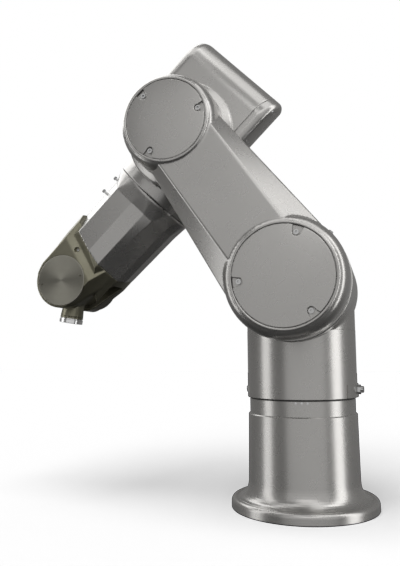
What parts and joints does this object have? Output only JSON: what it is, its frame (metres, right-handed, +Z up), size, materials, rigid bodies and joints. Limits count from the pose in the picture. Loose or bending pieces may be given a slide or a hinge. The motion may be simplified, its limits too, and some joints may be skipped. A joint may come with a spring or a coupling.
{
  "type": "six-axis robot arm",
  "caption": "Six-axis jointed arm on a round pedestal, with an offset flat-sided upper arm, a forearm beside it, a forked wrist and a small round tool flange.",
  "frame": {"origin": "centre of the foot's underside, on the vertical first axis", "axes": "+Z up along axis 1; the arm's links lie parallel to the XZ plane, on the -Y side of the shoulder; at rest the arm leans towards -X; the connector panel faces +Y"},
  "size_m": [0.5475, 0.2938, 0.7434],
  "materials": {
    "arm_paint": "satin metallic warm grey paint on cast aluminium",
    "bare_alloy": "machined bare alloy, dull olive grey",
    "steel_parts": "bright zinc or plain steel",
    "polished_flange": "polished steel",
    "seal_rubber": "matt black",
    "dark_paint": "fine texture black powder coat",
    "motor_shell": "matt black",
    "socket_plastic": "matt black plastic"
  },
  "bodies": {
    "base": {"pedestal_casting": "arm_paint", "bottom_cover": "dark_paint", "bottom_cover_screws": "steel_parts", "neck_ring": "arm_paint", "index_pins": "steel_parts", "axis1_motor": "motor_shell", "axis1_reducer": "steel_parts", "axis1_outer_race": "steel_parts", "axis1_seal": "seal_rubber", "connector_panel": "dark_paint", "panel_screws": "steel_parts", "power_socket": "socket_plastic", "signal_socket": "socket_plastic", "air_ports": "steel_parts"},
    "shoulder": {"axis1_inner_race": "steel_parts", "axis1_output_hub": "steel_parts", "shoulder_skirt": "arm_paint", "shoulder_casting": "arm_paint", "skirt_plug": "steel_parts", "air_nipple": "steel_parts", "shoulder_breather": "steel_parts", "shoulder_rear_cover": "arm_paint", "rear_cover_screws": "steel_parts", "axis2_motor": "motor_shell", "axis2_reducer": "steel_parts", "axis2_outer_race": "steel_parts"},
    "upper_arm": {"axis2_output_hub": "steel_parts", "axis2_seal": "seal_rubber", "upper_arm_casting": "arm_paint", "shoulder_disc_cover": "arm_paint", "shoulder_disc_screws": "steel_parts", "elbow_disc_cover": "arm_paint", "elbow_disc_screws": "steel_parts", "arm_harness": "seal_rubber", "axis3_output_hub": "steel_parts", "axis3_seal": "seal_rubber"},
    "elbow": {"elbow_casting": "arm_paint", "motor_end_cap": "arm_paint", "end_cap_screws": "steel_parts", "axis3_motor": "motor_shell", "axis3_reducer": "steel_parts", "axis3_outer_race": "steel_parts", "axis4_motor": "motor_shell", "axis4_bearing": "steel_parts"},
    "forearm": {"axis4_hollow_shaft": "steel_parts", "forearm_casting": "arm_paint", "forearm_breathers": "steel_parts", "axis5_motor": "motor_shell", "axis6_motor": "motor_shell", "wrist_fork": "bare_alloy", "fork_screw": "steel_parts", "wrist_front_cap": "bare_alloy", "wrist_rear_cap": "bare_alloy", "wrist_bearings": "steel_parts"},
    "wrist": {"wrist_body": "bare_alloy", "wrist_trunnions": "steel_parts", "axis5_drive": "steel_parts", "axis6_bearing": "steel_parts"},
    "flange": {"tool_flange": "polished_flange", "flange_dowel": "steel_parts"}
  },
  "joints": [
    {"name": "axis1", "type": "hinge", "parent": "base", "child": "shoulder", "pos_m": [0, 0, 0.168], "axis": [0, 0, 1], "range_deg": [-160, 160]},
    {"name": "axis2", "type": "hinge", "parent": "shoulder", "child": "upper_arm", "pos_m": [0, 0, 0.341], "axis": [0, 1, 0], "range_deg": [-50, 160]},
    {"name": "axis3", "type": "hinge", "parent": "upper_arm", "child": "elbow", "pos_m": [-0.16717, 0, 0.57797], "axis": [0, -1, 0], "range_deg": [-237, 38]},
    {"name": "axis4", "type": "hinge", "parent": "elbow", "child": "forearm", "pos_m": [-0.16717, -0.018, 0.57797], "axis": [-0.7133, 0, -0.7009], "range_deg": [-270, 270]},
    {"name": "axis5", "type": "hinge", "parent": "forearm", "child": "wrist", "pos_m": [-0.38827, -0.018, 0.36069], "axis": [0, 1, 0], "range_deg": [-74, 145]},
    {"name": "axis6", "type": "hinge", "parent": "wrist", "child": "flange", "pos_m": [-0.38827, -0.018, 0.36069], "axis": [-0.1702, 0, -0.9854], "range_deg": [-270, 270]}
  ]
}
